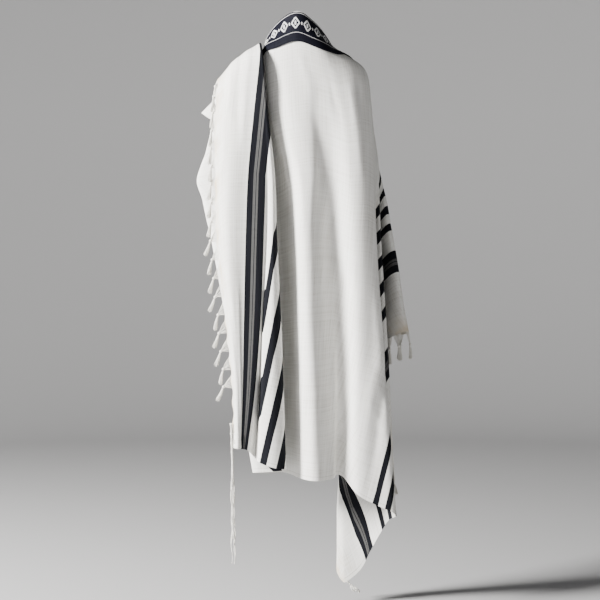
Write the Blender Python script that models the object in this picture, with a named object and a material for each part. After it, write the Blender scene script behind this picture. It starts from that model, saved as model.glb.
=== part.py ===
"""A woollen prayer shawl hanging as it is worn, seen here without its wearer.

The cloth is one sheet, 1.80 m long and 1.30 m wide. It lies round the neck and over both
shoulders. On the left its end is laid up on the shoulder in three layers, and on the right it
hangs from the bent arm and falls in a cascade of folds to its lowest corner.
Metres, +Z up, +X to the wearer's right, +Y to the wearer's front. The origin is at the nape.
"""
import math

import bmesh
import bpy
import numpy as np

# Cloth
WALL = 0.0020              # thickness of the woollen cloth
SEAM_GAP = 0.0003          # room between two pieces
ROW_STEPS = (4, 4, 3, 2, 3, 3, 3, 3)  # mesh steps between two heights, from the top edge
LAY_WALL = 0.0013          # thickness of a piece that lies on the cloth

# Collar band
BAND_WIDTH = 0.085
BAND_OFF = 0.0040          # middle of the band from the cloth's middle
BAND_ROWS = 11
BAND_FROM = "back_left"
BAND_TO = "cascade_3"

# Corner patches
PATCH = 0.042
PATCH_INSET = 0.002        # from the cloth's edge to the patch's
PATCH_OFF = 0.0025         # middle of a patch from the cloth's middle

# Fringe
LEFT_FRINGE_COUNT = 23
LEFT_FRINGE_ROWS = sum(ROW_STEPS[:-1]) + 1  # the left fringe ends at knee height
RIGHT_FRINGE_COUNT = 25
RIGHT_FRINGE_FROM = "cascade_turn"          # a hand above the lowest corner
TAPE_WIDTH = 0.005
EDGE_ROOM = 0.0013         # from the cloth's edge to the strip
TASSEL_ROOT = 0.012        # half width where the strings leave the cloth
TASSEL_KNOT = 0.0034
TASSEL_NECK = 0.0016
TASSEL_TIP = 0.0058
TASSEL_GATHER = 0.022
TASSEL_BRUSH = 0.044

# Corner tassels
CORD_RADIUS = 0.0033
STRANDS = 8
STRAND_HALF = 0.0011

# Heights at which the fold lines are given, as shares of the way from crest to elbow height
# and from elbow height to the lower edge
ELBOW_Z = -0.375
CHEST_SHARE = 0.5
LOW_SHARES = (0.21, 0.51, 0.79)

# How round the cloth turns at a fold, from 0, sharp, to 1, and the share of its usual bend that
# it has at the lowest corner
ROUNDNESS = 0.6
CORNER_LINE = "low_corner"
CORNER_BEND = 0.25

# Fold lines of the sheet from its left end to its right end. Each runs from the sheet's top
# edge, over the shoulder or arm, down to its lower edge.
# name, top edge (x, y, z), lift of the shoulder between top edge and crest, crest (x, y, z),
# (x, y) at chest, elbow, hip, thigh and knee, lower edge (x, y, z)
FOLD_LINES = (
    ("left_end", (-0.222, 0.205, -0.290), 0.100, (-0.225, 0.034, -0.111),
     (-0.231, -0.004), (-0.229, -0.014), (-0.226, -0.016), (-0.2025, -0.018), (-0.1815, -0.022),
     (-0.178, -0.024, -1.129)),
    ("left_border", (-0.172, 0.202, -0.225), 0.095, (-0.172, 0.000, -0.060),
     (-0.190, -0.030), (-0.195, -0.045), (-0.196, -0.050), (-0.183, -0.050), (-0.170, -0.050),
     (-0.166, -0.048, -1.129)),
    ("left_band_outer", (-0.128, 0.182, -0.158), 0.090, (-0.106, -0.010, -0.031),
     (-0.122, -0.036), (-0.138, -0.040), (-0.144, -0.042), (-0.149, -0.042), (-0.1525, -0.044),
     (-0.158, -0.042, -1.130)),
    ("left_band_inner", (-0.122, 0.180, -0.155), 0.090, (-0.1045, -0.010, -0.030),
     (-0.0945, -0.036), (-0.090, -0.036), (-0.0945, -0.036), (-0.103, -0.036), (-0.1195, -0.038),
     (-0.1405, -0.036, -1.134)),
    ("left_valley", (-0.1205, 0.179, -0.154), 0.090, (-0.1032, -0.010, -0.0295),
     (-0.0915, -0.036), (-0.084, -0.034), (-0.0875, -0.029), (-0.0985, -0.028), (-0.1090, -0.018),
     (-0.120, -0.006, -1.158)),
    ("left_pleat", (-0.119, 0.178, -0.153), 0.090, (-0.102, -0.010, -0.029),
     (-0.0885, -0.036), (-0.078, -0.036), (-0.0805, -0.034), (-0.0945, -0.034), (-0.0995, -0.036),
     (-0.1065, -0.036, -1.168)),
    ("left_pleat_middle", (-0.1175, 0.177, -0.152), 0.090, (-0.1008, -0.009, -0.0285),
     (-0.0855, -0.034), (-0.070, -0.036), (-0.068, -0.038), (-0.067, -0.042), (-0.067, -0.044),
     (-0.067, -0.044, -1.182)),
    ("left_turn", (-0.115, 0.170, -0.148), 0.084, (-0.099, -0.002, -0.028),
     (-0.083, -0.020), (-0.0645, -0.020), (-0.0585, -0.020), (-0.0465, -0.020), (-0.0385, -0.020),
     (-0.033, -0.020, -1.190)),
    ("under_near", (-0.125, 0.162, -0.142), 0.070, (-0.112, 0.010, -0.037),
     (-0.098, 0.002), (-0.088, 0.006), (-0.085, 0.008), (-0.078, 0.010), (-0.072, 0.010),
     (-0.066, 0.010, -1.198)),
    ("under_middle", (-0.166, 0.180, -0.195), 0.072, (-0.165, 0.028, -0.078),
     (-0.190, 0.014), (-0.190, 0.012), (-0.172, 0.012), (-0.145, 0.014), (-0.118, 0.016),
     (-0.098, 0.016, -1.201)),
    ("elbow_turn", (-0.202, 0.168, -0.250), 0.074, (-0.213, 0.070, -0.117),
     (-0.2445, 0.034), (-0.279, 0.030), (-0.243, 0.030), (-0.198, 0.030), (-0.157, 0.030),
     (-0.126, 0.030, -1.204)),
    ("back_far_left", (-0.138, 0.142, -0.144), 0.026, (-0.168, 0.068, -0.098),
     (-0.190, 0.044), (-0.202, 0.046), (-0.190, 0.046), (-0.165, 0.046), (-0.140, 0.046),
     (-0.115, 0.046, -1.207)),
    ("back_left", (-0.102, 0.122, -0.072), 0.010, (-0.128, 0.052, -0.060),
     (-0.140, 0.052), (-0.140, 0.056), (-0.138, 0.058), (-0.128, 0.060), (-0.112, 0.062),
     (-0.096, 0.062, -1.209)),
    ("recess", (-0.093, 0.104, -0.030), 0.004, (-0.108, 0.040, -0.041),
     (-0.098, 0.048), (-0.078, 0.066), (-0.062, 0.080), (-0.052, 0.088), (-0.046, 0.092),
     (-0.041, 0.092, -1.211)),
    ("recess_wall", (-0.089, 0.092, -0.002), 0.004, (-0.097, 0.030, -0.029),
     (-0.086, 0.034), (-0.052, 0.044), (-0.034, 0.052), (-0.025, 0.056), (-0.020, 0.058),
     (-0.016, 0.058, -1.213)),
    ("ridge_left", (-0.086, 0.080, 0.020), 0.002, (-0.084, 0.018, -0.017),
     (-0.076, 0.008), (-0.030, 0.008), (-0.013, 0.010), (-0.006, 0.012), (-0.001, 0.012),
     (0.000, 0.012, -1.215)),
    ("ridge_top", (-0.043, 0.026, 0.067), 0.000, (-0.043, 0.001, -0.005),
     (-0.030, -0.018), (0.006, -0.030), (0.017, -0.035), (0.028, -0.036), (0.036, -0.036),
     (0.044, -0.036, -1.219)),
    ("ridge_right", (0.000, 0.000, 0.083), 0.000, (0.000, -0.005, 0.000),
     (0.026, -0.018), (0.048, -0.022), (0.056, -0.018), (0.067, -0.012), (0.080, -0.008),
     (0.090, -0.006, -1.218)),
    ("valley", (0.036, 0.020, 0.063), 0.000, (0.045, 0.001, -0.001),
     (0.076, -0.006), (0.090, 0.006), (0.094, 0.018), (0.105, 0.024), (0.111, 0.024),
     (0.117, 0.020, -1.209)),
    ("second_ridge", (0.084, 0.088, 0.016), 0.002, (0.100, 0.024, -0.031),
     (0.130, -0.004), (0.145, -0.012), (0.155, -0.012), (0.161, -0.010), (0.164, -0.008),
     (0.167, -0.006, -1.262)),
    ("flank", (0.115, 0.145, -0.060), 0.030, (0.152, 0.048, -0.053),
     (0.175, 0.010), (0.189, 0.002), (0.195, 0.000), (0.204, 0.000), (0.214, 0.000),
     (0.217, 0.000, -1.290)),
    ("right_turn", (0.136, 0.172, -0.100), 0.040, (0.192, 0.074, -0.073),
     (0.208, 0.040), (0.218, 0.030), (0.222, 0.025), (0.2385, 0.020), (0.2585, 0.015),
     (0.272, 0.010, -1.318)),
    ("cascade_1", (0.138, 0.180, -0.108), 0.040, (0.195, 0.088, -0.082),
     (0.210, 0.056), (0.224, 0.046), (0.212, 0.056), (0.222, 0.066), (0.240, 0.075),
     (0.255, 0.080, -1.347)),
    ("cascade_2", (0.139, 0.184, -0.112), 0.040, (0.1955, 0.100, -0.089),
     (0.213, 0.070), (0.226, 0.061), (0.195, 0.085), (0.190, 0.105), (0.200, 0.130),
     (0.210, 0.145, -1.440)),
    ("cascade_3", (0.140, 0.188, -0.116), 0.040, (0.196, 0.109, -0.093),
     (0.2145, 0.082), (0.227, 0.070), (0.183, 0.100), (0.165, 0.125), (0.155, 0.150),
     (0.180, 0.158, -1.500)),
    ("low_corner", (0.141, 0.191, -0.119), 0.040, (0.196, 0.117, -0.097),
     (0.2155, 0.092), (0.228, 0.079), (0.175, 0.112), (0.147, 0.140), (0.125, 0.160),
     (0.1335, 0.165, -1.538)),
    ("cascade_turn", (0.142, 0.194, -0.122), 0.040, (0.196, 0.125, -0.100),
     (0.216, 0.102), (0.228, 0.088), (0.170, 0.126), (0.137, 0.155), (0.118, 0.180),
     (0.112, 0.185, -1.500)),
    ("cascade_4", (0.143, 0.197, -0.125), 0.040, (0.195, 0.134, -0.102),
     (0.2165, 0.112), (0.228, 0.0975), (0.200, 0.137), (0.185, 0.170), (0.185, 0.205),
     (0.190, 0.225, -1.360)),
    ("strip_turn", (0.1435, 0.199, -0.127), 0.040, (0.1945, 0.141, -0.1035),
     (0.2168, 0.119), (0.229, 0.105), (0.234, 0.104), (0.247, 0.106), (0.258, 0.118),
     (0.266, 0.134, -1.190)),
    ("strip_turn_far", (0.1442, 0.2012, -0.1292), 0.040, (0.1938, 0.146, -0.1048),
     (0.2166, 0.125), (0.2293, 0.112), (0.236, 0.118), (0.252, 0.130), (0.266, 0.146),
     (0.274, 0.164, -1.170)),
    ("cascade_5", (0.145, 0.203, -0.131), 0.040, (0.192, 0.152, -0.107),
     (0.216, 0.133), (0.2293, 0.119), (0.214, 0.152), (0.215, 0.198), (0.213, 0.238),
     (0.212, 0.264, -1.100)),
    ("far_turn", (0.1456, 0.2048, -0.1328), 0.040, (0.1908, 0.158, -0.109),
     (0.2152, 0.141), (0.2295, 0.126), (0.192, 0.186), (0.176, 0.262), (0.166, 0.318),
     (0.160, 0.352, -1.000)),
    ("far_turn_front", (0.1464, 0.2072, -0.1352), 0.039, (0.1892, 0.164, -0.111),
     (0.214, 0.147), (0.2298, 0.132), (0.202, 0.198), (0.198, 0.282), (0.190, 0.342),
     (0.186, 0.378, -0.965)),
    ("cascade_6", (0.147, 0.209, -0.138), 0.038, (0.188, 0.170, -0.114),
     (0.213, 0.156), (0.232, 0.139), (0.226, 0.168), (0.232, 0.222), (0.232, 0.250),
     (0.230, 0.270, -0.870)),
    ("side_edge", (0.148, 0.212, -0.142), 0.036, (0.186, 0.180, -0.120),
     (0.212, 0.170), (0.236, 0.149), (0.254, 0.132), (0.2765, 0.127), (0.293, 0.122),
     (0.308, 0.117, -0.810)),
    ("side_edge_far", (0.1486, 0.2140, -0.1450), 0.035, (0.1840, 0.186, -0.125),
     (0.210, 0.178), (0.238, 0.160), (0.260, 0.146), (0.2845, 0.143), (0.303, 0.139),
     (0.318, 0.136, -0.815)),
    ("side_middle", (0.150, 0.218, -0.152), 0.030, (0.178, 0.200, -0.140),
     (0.204, 0.200), (0.240, 0.205), (0.252, 0.217), (0.262, 0.224), (0.266, 0.224),
     (0.268, 0.220, -0.828)),
    ("right_end_front", (0.152, 0.224, -0.165), 0.010, (0.165, 0.226, -0.190),
     (0.190, 0.240), (0.226, 0.290), (0.229, 0.325), (0.232, 0.340), (0.234, 0.350),
     (0.234, 0.352, -0.850)),
)

# Stretches of the sheet. name, first line, last line, mesh steps between two lines
STRETCHES = (
    ("cloth_left_over", "left_end", "under_near", 2),
    ("cloth_left_under", "under_near", "recess", 3),
    ("cloth_back", "recess", "cascade_1", 3),
    ("cloth_right_cascade", "cascade_1", "cascade_5", 2),
    ("cloth_right_side", "cascade_5", "right_end_front", 2),
)

# The cloth stands out in a small pointed fold beside the left shoulder
EAR_LINE = "elbow_turn"
EAR_REACH = 0.040
EAR_TOP = -0.138
EAR_TIP = -0.187
EAR_LOW = -0.212

# Corner patches. name, fold line of the corner, end of that line, neighbour line
PATCHES = (
    ("patch_lower_left", "left_end", "low", "left_band_inner"),
    ("patch_upper_left", "left_end", "top", "left_border"),
    ("patch_lower_right", "low_corner", "low", "cascade_2"),
    ("patch_upper_right", "right_end_front", "low", "side_middle"),
)

# Corner tassels. name, top of the cord (x, y, z), wound length, strand length, lean of the cord
# and of the strands (x, y), spread of the strand ends
CORNER_TASSELS = (
    ("tassel_lower_left", (-0.1848, -0.0328, -1.062), 0.105, 0.285, (0.004, 0.000),
     (0.002, 0.000), 0.010),
    ("tassel_upper_left", (-0.2195, 0.2088, -0.290), 0.105, 0.285, (0.000, 0.006),
     (0.003, 0.012), 0.013),
    ("tassel_lower_right", (0.1424, 0.1584, -1.5334), 0.012, 0.020, (0.012, 0.000),
     (0.016, 0.002), 0.012),
    ("tassel_upper_right", (0.2352, 0.3554, -0.8561), 0.105, 0.285, (0.000, 0.004),
     (0.003, 0.010), 0.013),
)

# Materials. name, colour, roughness
WOOL = ("white_wool", (0.86, 0.85, 0.82, 1.0), 0.90)
BAND = ("navy_band", (0.020, 0.022, 0.035, 1.0), 0.65)
THREAD = ("white_thread", (0.84, 0.82, 0.77, 1.0), 0.85)


def clear_scene():
    """Empty the file that the script runs in."""
    for thing in list(bpy.data.objects):
        bpy.data.objects.remove(thing, do_unlink=True)


def make_material(row):
    name, colour, roughness = row
    material = bpy.data.materials.new(name)
    material.use_nodes = True
    shader = material.node_tree.nodes["Principled BSDF"]
    shader.inputs["Base Color"].default_value = colour
    shader.inputs["Roughness"].default_value = roughness
    shader.inputs["Metallic"].default_value = 0.0
    return material


def control_net():
    """Points of every fold line at nine heights, from the top edge to the lower edge."""
    net = []
    for name, top, lift, crest, chest, elbow, hip, thigh, knee, low in FOLD_LINES:
        middle = (np.array(top) + np.array(crest)) / 2 + np.array((0.0, 0.0, lift))
        chest_z = crest[2] + CHEST_SHARE * (ELBOW_Z - crest[2])
        line = [top, middle, crest, (*chest, chest_z), (*elbow, ELBOW_Z)]
        for share, (x, y) in zip(LOW_SHARES, (hip, thigh, knee)):
            line.append((x, y, ELBOW_Z + share * (low[2] - ELBOW_Z)))
        line.append(low)
        net.append(line)
    return np.array(net, dtype=float)


def smooth(points, steps, bends=1.0):
    """A smooth curve through points, along the first axis, with a number of parts per span.

    The bends are shares of the curve's usual bend at the points.
    """
    gaps = np.linalg.norm(np.diff(points, axis=0), axis=-1, keepdims=True) ** 0.5
    slopes = np.diff(points, axis=0) / gaps
    inner = (slopes[:-1] * gaps[1:] + slopes[1:] * gaps[:-1]) / (gaps[:-1] + gaps[1:])
    usual = (gaps[:-1] + gaps[1:]) / 2
    inner *= (usual / np.linalg.norm(inner, axis=-1, keepdims=True)) ** ROUNDNESS
    tangents = np.concatenate([slopes[:1], inner, slopes[-1:]]) * bends
    curve = []
    for k, parts in enumerate(steps):
        for t in np.arange(parts) / parts:
            curve.append(
                (2 * t**3 - 3 * t**2 + 1) * points[k]
                + (t**3 - 2 * t**2 + t) * gaps[k] * tangents[k]
                + (3 * t**2 - 2 * t**3) * points[k + 1]
                + (t**3 - t**2) * gaps[k] * tangents[k + 1]
            )
    curve.append(points[-1])
    return np.array(curve)


def add_ear(sheet, column):
    """Push one fold line outwards in a small peak, and the cloth beside it by half."""
    for offset, share in ((-1, 0.45), (0, 1.0), (1, 0.45)):
        line = sheet[column + offset]
        behind = line[:, 1] < 0.10
        height = np.interp(line[:, 2], (EAR_LOW, EAR_TIP, EAR_TOP), (0, 1, 0))
        line[:, 0] -= share * EAR_REACH * height * behind


def directions(grid, axis):
    """Unit directions of a grid's lines at its points, halfway between those of both sides."""
    ways = np.diff(grid, axis=axis)
    ways /= np.linalg.norm(ways, axis=-1, keepdims=True)
    first = np.take(ways, [0], axis=axis)
    last = np.take(ways, [-1], axis=axis)
    return np.concatenate([first, ways], axis=axis) + np.concatenate([ways, last], axis=axis)


def grid_normals(grid):
    """Unit normals of a grid, away from the wearer on the back."""
    normals = np.cross(directions(grid, 1), directions(grid, 0))
    return normals / np.linalg.norm(normals, axis=-1, keepdims=True)


def whole_sheet():
    """The middle of the cloth as a grid, its normals, and the column of every fold line."""
    names = [row[0] for row in FOLD_LINES]
    steps = []
    for name, first, last, parts in STRETCHES:
        steps += [parts] * (names.index(last) - names.index(first))
    net = control_net()
    bends = np.ones(net.shape[:2] + (1,))
    bends[names.index(CORNER_LINE), -1] = CORNER_BEND
    across = smooth(net, steps, bends)
    sheet = smooth(across.transpose(1, 0, 2), ROW_STEPS).transpose(1, 0, 2)
    starts = np.concatenate([[0], np.cumsum(steps)])
    columns = {name: int(start) for name, start in zip(names, starts)}
    add_ear(sheet, columns[EAR_LINE])
    return sheet, grid_normals(sheet), columns


def trim(grid, sides, width):
    """Take width off the named sides of a grid, so that it stands clear of its neighbour."""
    grid = grid.copy()
    ends = {"first": (0, 1), "last": (-1, -2)}
    for side in sides:
        edge, inner = ends[side]
        away = grid[inner] - grid[edge]
        grid[edge] += width * away / np.linalg.norm(away, axis=-1, keepdims=True)
    return grid


def add_object(name, bm, material, collection, smooth_faces=False):
    """Make an object of the given material from a bmesh, with its faces pointing out."""
    bmesh.ops.recalc_face_normals(bm, faces=bm.faces)
    mesh = bpy.data.meshes.new(name)
    bm.to_mesh(mesh)
    bm.free()
    if smooth_faces:
        mesh.shade_smooth()
        mesh.set_sharp_from_angle(angle=math.radians(60))
    mesh.materials.append(material)
    thing = bpy.data.objects.new(name, mesh)
    collection.objects.link(thing)


def wall_piece(name, middle, normals, wall, material, collection):
    """A closed wall of cloth, half of it on each side of a grid of points."""
    bm = bmesh.new()
    skins = []
    for side in (0.5, -0.5):
        points = middle + side * wall * normals
        skins.append([[bm.verts.new(point) for point in column] for column in points])
    outer, inner = skins
    for skin in skins:
        for left, right in zip(skin, skin[1:]):
            for k in range(len(left) - 1):
                bm.faces.new((left[k], left[k + 1], right[k + 1], right[k]))
    rims = (
        (outer[0], inner[0]),
        (outer[-1], inner[-1]),
        ([column[0] for column in outer], [column[0] for column in inner]),
        ([column[-1] for column in outer], [column[-1] for column in inner]),
    )
    for over, under in rims:
        for k in range(len(over) - 1):
            bm.faces.new((over[k], over[k + 1], under[k + 1], under[k]))
    add_object(name, bm, material, collection, smooth_faces=True)


def at_distances(line, distances, values=None):
    """Points of a line, or values given at its points, at distances from its start."""
    values = line if values is None else values
    lengths = np.linalg.norm(np.diff(line, axis=0), axis=1)
    run = np.concatenate([[0.0], np.cumsum(lengths)])
    return np.array([[np.interp(d, run, values[:, k]) for k in range(3)] for d in distances])


def cut_to(lines, distance):
    """The first points of each line, and a last one at the given distance from its start."""
    gaps = np.linalg.norm(np.diff(lines, axis=1), axis=-1)
    run = np.concatenate([np.zeros((len(lines), 1)), np.cumsum(gaps, axis=1)], axis=1)
    whole = int((run < 0.9 * distance).sum(axis=1).min())
    ends = np.array([at_distances(line, [distance])[0] for line in lines])
    return np.concatenate([lines[:, :whole], ends[:, None]], axis=1)


def line_length(line):
    return float(np.linalg.norm(np.diff(line, axis=0), axis=1).sum())


def build_cloth(material, collection):
    sheet, normals, columns = whole_sheet()
    for number, (name, first, last, steps) in enumerate(STRETCHES):
        part = slice(columns[first], columns[last] + 1)
        sides = []
        if number > 0:
            sides.append("first")
        if number < len(STRETCHES) - 1:
            sides.append("last")
        middle = trim(sheet[part], sides, SEAM_GAP / 2 + 0.0001)
        wall_piece(name, middle, normals[part], WALL, material, collection)


def build_band(material, collection):
    """The collar band, along the sheet's top edge on its outer side."""
    sheet, normals, columns = whole_sheet()
    moved = sheet + BAND_OFF * normals
    moved = moved[columns[BAND_FROM] : columns[BAND_TO] + 1]
    distances = np.linspace(0.002, BAND_WIDTH, BAND_ROWS + 1)
    grid = np.array([at_distances(line, distances) for line in moved])
    wall_piece("collar_band", grid, grid_normals(grid), LAY_WALL, material, collection)


def build_patches(material, collection):
    """A small square of cloth sewn on each corner of the sheet."""
    sheet, normals, columns = whole_sheet()
    moved = sheet + PATCH_OFF * normals
    for name, line, end, neighbour in PATCHES:
        start, stop = columns[line], columns[neighbour]
        if start < stop:
            part = moved[start : stop + 1]
        else:
            part = moved[stop : start + 1][::-1]
        if end == "low":
            part = part[:, ::-1]
        rows = cut_to(part, PATCH)
        grid = cut_to(rows.transpose(1, 0, 2), PATCH)
        grid = trim(grid, ["first"], PATCH_INSET)
        grid = trim(grid.transpose(1, 0, 2), ["first"], PATCH_INSET)
        wall_piece(name, grid, grid_normals(grid), LAY_WALL, material, collection)


def ring_points(centre, wide, thick, half_wide, half_thick):
    return [
        centre + wide * half_wide + thick * half_thick,
        centre - wide * half_wide + thick * half_thick,
        centre - wide * half_wide - thick * half_thick,
        centre + wide * half_wide - thick * half_thick,
    ]


def grow_lock(bm, root, thick, path, halves):
    """Grow a four-sided lock from four vertices along a path, and close its end."""
    ring = root
    for k in range(1, len(path)):
        before = path[k - 1]
        after = path[min(k + 1, len(path) - 1)]
        way = (after - before) / np.linalg.norm(after - before)
        wide = np.cross(thick, way)
        wide /= np.linalg.norm(wide)
        half_wide, half_thick = halves[k - 1]
        outward = np.cross(way, wide)
        new = [bm.verts.new(p) for p in ring_points(path[k], wide, outward, half_wide, half_thick)]
        for a in range(4):
            b = (a + 1) % 4
            bm.faces.new((ring[a], ring[b], new[b], new[a]))
        ring = new
    bm.faces.new(ring)


def build_fringe(name, edge, inner, count, level_out, material, collection):
    """A narrow strip beside an end of the sheet, with its tassels grown from it."""
    length = line_length(edge)
    middles = (np.arange(count) + 0.5) * length / count
    roots = middles - TASSEL_ROOT
    bends = np.cumsum(np.linalg.norm(np.diff(edge, axis=0), axis=1))[:-1]
    clear = np.abs(bends[:, None] - middles).min(axis=1) > 1.2 * TASSEL_ROOT
    stops = np.concatenate([[0.0, length], bends[clear], roots, middles + TASSEL_ROOT])
    stops = np.sort(stops)
    edge_points = at_distances(edge, stops)
    outs = edge - inner
    outs /= np.linalg.norm(outs, axis=1, keepdims=True)
    outs = at_distances(edge, stops, outs)
    if level_out:
        outs[:, 1] = np.minimum(outs[:, 1], 0.0)
    ways = np.gradient(edge_points, axis=0)
    ways /= np.linalg.norm(ways, axis=1, keepdims=True)
    outs -= (outs * ways).sum(axis=1, keepdims=True) * ways
    outs /= np.linalg.norm(outs, axis=1, keepdims=True)
    thicks = np.cross(outs, ways)
    bm = bmesh.new()
    rings = []
    for point, out, thick in zip(edge_points, outs, thicks):
        near = point + out * EDGE_ROOM
        far = near + out * TAPE_WIDTH
        half = thick * WALL / 2
        rings.append([bm.verts.new(p) for p in (near + half, far + half, far - half, near - half)])
    for k in range(len(rings) - 1):
        this, following = rings[k], rings[k + 1]
        for a, b in ((0, 1), (2, 3), (3, 0)):
            bm.faces.new((this[a], this[b], following[b], following[a]))
        if np.abs(roots - stops[k]).min() > 1e-6:
            bm.faces.new((this[1], this[2], following[2], following[1]))
            continue
        root = [following[1], this[1], this[2], following[2]]
        centre = (edge_points[k] + edge_points[k + 1]) / 2
        out = (outs[k] + outs[k + 1]) / 2
        thick = (thicks[k] + thicks[k + 1]) / 2
        start = centre + out * (EDGE_ROOM + TAPE_WIDTH)
        down = np.array((0.0, 0.0, -1.0))
        sway = 0.006 * math.sin(2.3 * k)
        knot = start + out * 0.60 * TASSEL_GATHER + down * 0.60 * TASSEL_GATHER
        middle = knot + down * 0.45 * TASSEL_BRUSH + out * (0.006 + 0.5 * sway)
        tip = knot + down * TASSEL_BRUSH + out * (0.010 + sway)
        above = start + 0.72 * (knot - start)
        path = [start, above, knot, middle, tip]
        halves = [
            (TASSEL_NECK, TASSEL_NECK),
            (TASSEL_KNOT, TASSEL_KNOT),
            (TASSEL_NECK * 1.5, TASSEL_NECK * 1.5),
            (TASSEL_TIP, TASSEL_TIP * 0.7),
        ]
        grow_lock(bm, root, thick, path, halves)
    bm.faces.new(rings[0])
    bm.faces.new(rings[-1])
    add_object(name, bm, material, collection)


def build_fringes(material, collection):
    sheet, normals, columns = whole_sheet()
    left = sheet[columns["left_end"], :LEFT_FRINGE_ROWS]
    left_inner = sheet[columns["left_end"] + 1, :LEFT_FRINGE_ROWS]
    count = LEFT_FRINGE_COUNT
    build_fringe("fringe_left", left, left_inner, count, True, material, collection)
    right = sheet[columns[RIGHT_FRINGE_FROM] :, -1]
    right_inner = sheet[columns[RIGHT_FRINGE_FROM] :, -2]
    count = RIGHT_FRINGE_COUNT
    build_fringe("fringe_right", right, right_inner, count, False, material, collection)


def build_corner_tassels(material, collection):
    """The wound cord and its loose strands at each corner."""
    down = np.array((0.0, 0.0, -1.0))
    for name, start, wound, loose, cord_lean, strand_lean, spread in CORNER_TASSELS:
        start = np.array(start)
        cord_drift = np.array((*cord_lean, 0.0))
        drift = np.array((*strand_lean, 0.0))
        bm = bmesh.new()
        rings = []
        levels = (0.0, 0.5, 0.94, 1.0)
        for level in levels:
            centre = start + down * wound * level + cord_drift * level
            ring = []
            for k in range(STRANDS):
                angle = 2 * math.pi * k / STRANDS
                round_it = np.array((math.cos(angle), math.sin(angle), 0.0))
                ring.append(bm.verts.new(centre + CORD_RADIUS * round_it))
            rings.append(ring)
        for number, (upper, lower) in enumerate(zip(rings, rings[1:])):
            for k in range(STRANDS):
                nxt = (k + 1) % STRANDS
                if number < len(rings) - 2:
                    bm.faces.new((upper[k], upper[nxt], lower[nxt], lower[k]))
                    continue
                angle = 2 * math.pi * (k + 0.5) / STRANDS
                side = np.array((math.cos(angle), math.sin(angle), 0.0))
                across = np.array((-math.sin(angle), math.cos(angle), 0.0))
                root = [lower[nxt], upper[nxt], upper[k], lower[k]]
                middle = start + (down * wound + cord_drift) * 0.97 + side * CORD_RADIUS
                length = loose * (0.86 + 0.14 * math.sin(2.1 * k + 1.0))
                path = [middle]
                for part in (0.02, 0.25, 0.5, 0.75, 1.0):
                    wave = 0.0016 * math.sin(9 * part + 1.7 * k)
                    away = side * (0.0035 + spread * part) + across * wave
                    path.append(middle + down * (0.004 + length * part) + away + drift * part)
                halves = [(STRAND_HALF, STRAND_HALF)] * 5
                grow_lock(bm, root, across, path, halves)
        bm.faces.new(rings[0])
        bm.faces.new(rings[-1])
        add_object(name, bm, material, collection)


def main():
    clear_scene()
    collection = bpy.data.collections.new("prayer_shawl")
    bpy.context.scene.collection.children.link(collection)
    wool = make_material(WOOL)
    band = make_material(BAND)
    thread = make_material(THREAD)
    build_cloth(wool, collection)
    build_band(band, collection)
    build_patches(wool, collection)
    build_fringes(thread, collection)
    build_corner_tassels(thread, collection)


main()
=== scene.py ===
"""Looks of a woollen prayer shawl that hangs as it is worn, seen from behind.

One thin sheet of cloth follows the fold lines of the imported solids. Its black stripes are woven
across it, so they are placed by the distance along the flat cloth. The collar band, the corner
patches, the fringe and the wound corner tassels are pieces of their own.
Metres, +Z up, +X to the wearer's right, +Y to the wearer's front. The origin is at the nape.
"""
import math

import bmesh
import bpy
import numpy as np
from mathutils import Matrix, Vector


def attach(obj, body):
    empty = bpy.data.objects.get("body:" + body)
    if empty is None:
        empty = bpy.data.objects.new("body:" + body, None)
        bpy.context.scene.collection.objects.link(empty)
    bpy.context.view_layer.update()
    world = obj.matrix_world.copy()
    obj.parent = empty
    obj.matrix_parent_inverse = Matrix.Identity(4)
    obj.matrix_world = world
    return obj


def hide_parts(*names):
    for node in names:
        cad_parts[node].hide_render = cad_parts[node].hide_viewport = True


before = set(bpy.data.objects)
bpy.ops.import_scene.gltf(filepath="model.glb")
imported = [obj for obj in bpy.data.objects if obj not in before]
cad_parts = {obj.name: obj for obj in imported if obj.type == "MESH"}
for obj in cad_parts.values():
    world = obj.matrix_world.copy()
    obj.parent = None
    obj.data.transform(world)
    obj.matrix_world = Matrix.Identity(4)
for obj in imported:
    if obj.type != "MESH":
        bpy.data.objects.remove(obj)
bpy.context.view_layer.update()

DOWN = np.array((0.0, 0.0, -1.0))

# Flat cloth
CLOTH_LENGTH = 1.80
CLOTH_WIDTH = 1.30
CLOTH_WALL = 0.0012

# Heights at which the fold lines are given, as shares of the way from crest to elbow height
# and from elbow height to the lower edge
ELBOW_Z = -0.375
CHEST_SHARE = 0.5
LOW_SHARES = (0.21, 0.51, 0.79)
ROW_STEPS = (9, 9, 14, 14, 18, 24, 22, 18)

# How round the cloth turns at a fold, from 0, sharp, to 1, and the share of its usual bend that
# it has at the lowest corner
ROUNDNESS = 0.6
CORNER_LINE = "low_corner"
CORNER_BEND = 0.25

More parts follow.
